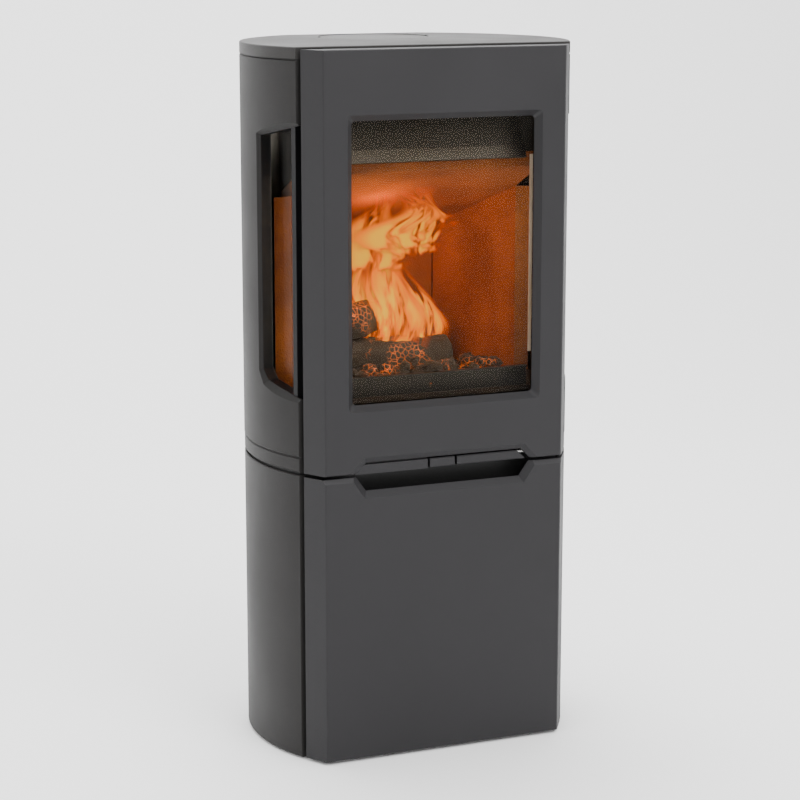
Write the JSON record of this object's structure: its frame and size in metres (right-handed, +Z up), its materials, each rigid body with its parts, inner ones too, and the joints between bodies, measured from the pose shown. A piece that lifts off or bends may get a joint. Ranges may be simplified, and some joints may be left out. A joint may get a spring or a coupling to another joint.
{
  "type": "wood burning stove",
  "caption": "Tall free-standing wood burning stove: round-sided cast iron firebox with glazed door and side windows on a closed storage pedestal.",
  "frame": {"origin": "on the floor, at the middle of the bounding box seen from above", "axes": "+Z up; the flat front with the doors faces -Y; +X is to the right of someone facing the front"},
  "size_m": [0.487, 0.38, 1.045],
  "materials": {
    "cast_iron_black": "matt heat-resistant black paint on fine-grained cast iron",
    "steel_black": "matt black stove paint on sheet steel",
    "steel_bright": "plain ground steel",
    "ceramic_glass": "clear ceramic glass with a faint amber tint",
    "firebrick": "pressed vermiculite board, matt and slightly rough",
    "stove_rope": "dark braided glass-fibre rope"
  },
  "bodies": {
    "stove": {"air_deflector": "steel_black", "air_rod_guide": "steel_black", "back_brick": "firebrick", "baffle": "firebrick", "base_plate": "cast_iron_black", "corner_posts": "steel_black", "edge_strips": "steel_bright", "fire_door_hinge_brackets": "steel_black", "fire_door_hinge_pins": "steel_bright", "firebox_wall": "steel_black", "front_frame": "steel_black", "grate": "cast_iron_black", "hearth_plate": "cast_iron_black", "hearth_supports": "steel_black", "keeper_roller": "steel_bright", "latch_keeper": "steel_black", "left_brick": "firebrick", "left_shell": "cast_iron_black", "left_side_glass": "ceramic_glass", "left_window_casing": "cast_iron_black", "levelling_feet": "steel_black", "log_guard": "steel_black", "magnet_catch": "steel_black", "pan_rails": "steel_black", "pedestal_back": "steel_black", "pedestal_door_hinge_brackets": "steel_black", "pedestal_door_hinge_pins": "steel_bright", "pedestal_floor": "steel_black", "pedestal_left_shell": "cast_iron_black", "pedestal_right_shell": "cast_iron_black", "pedestal_roof": "steel_black", "rear_flue_collar": "cast_iron_black", "rear_panel": "steel_black", "rear_screws": "steel_bright", "right_brick": "firebrick", "right_shell": "cast_iron_black", "right_side_glass": "ceramic_glass", "right_window_casing": "cast_iron_black", "side_glass_ropes": "stove_rope", "top_plate": "cast_iron_black"},
    "fire_door": {"fire_door": "cast_iron_black", "glass_rope": "stove_rope", "door_glass": "ceramic_glass", "glass_retainer": "steel_black", "retainer_screws": "steel_bright", "door_rope": "stove_rope", "shaft_bearings": "steel_black", "handle_spring": "steel_bright"},
    "handle": {"handle_bar": "cast_iron_black", "latch_shaft": "steel_bright", "latch_hook": "steel_bright"},
    "air_control": {"air_knob": "cast_iron_black", "air_rod": "steel_bright", "air_shutter": "steel_black"},
    "pedestal_door": {"pedestal_door": "cast_iron_black", "catch_striker": "steel_bright"},
    "ash_pan": {"ash_pan": "steel_black"},
    "flue_cover": {"flue_cover": "cast_iron_black"}
  },
  "joints": [
    {"name": "fire_door_hinge", "type": "hinge", "parent": "stove", "child": "fire_door", "pos_m": [-0.186, -0.169, 0.7], "axis": [0, 0, -1], "range_deg": [0, 100]},
    {"name": "handle_turn", "type": "hinge", "parent": "fire_door", "child": "handle", "pos_m": [0.1, -0.1735, 0.445], "axis": [-1, 0, 0], "range_deg": [0, 12], "stiffness_Nm_per_rad": 0.3},
    {"name": "air_slide", "type": "slide", "parent": "stove", "child": "air_control", "axis": [0, -1, 0], "range_m": [0, 0.035]},
    {"name": "pedestal_door_hinge", "type": "hinge", "parent": "stove", "child": "pedestal_door", "pos_m": [-0.186, -0.169, 0.2], "axis": [0, 0, -1], "range_deg": [0, 100]},
    {"name": "ash_pan_slide", "type": "slide", "parent": "stove", "child": "ash_pan", "axis": [0, -1, 0], "range_m": [0, 0.08]},
    {"name": "cover_lift", "type": "slide", "parent": "stove", "child": "flue_cover", "axis": [0, 0, 1], "range_m": [0, 0.05]}
  ],
  "couplings": [
    {"joint": "ash_pan_slide", "follows": "fire_door_hinge", "m_per_rad": 0.045}
  ]
}
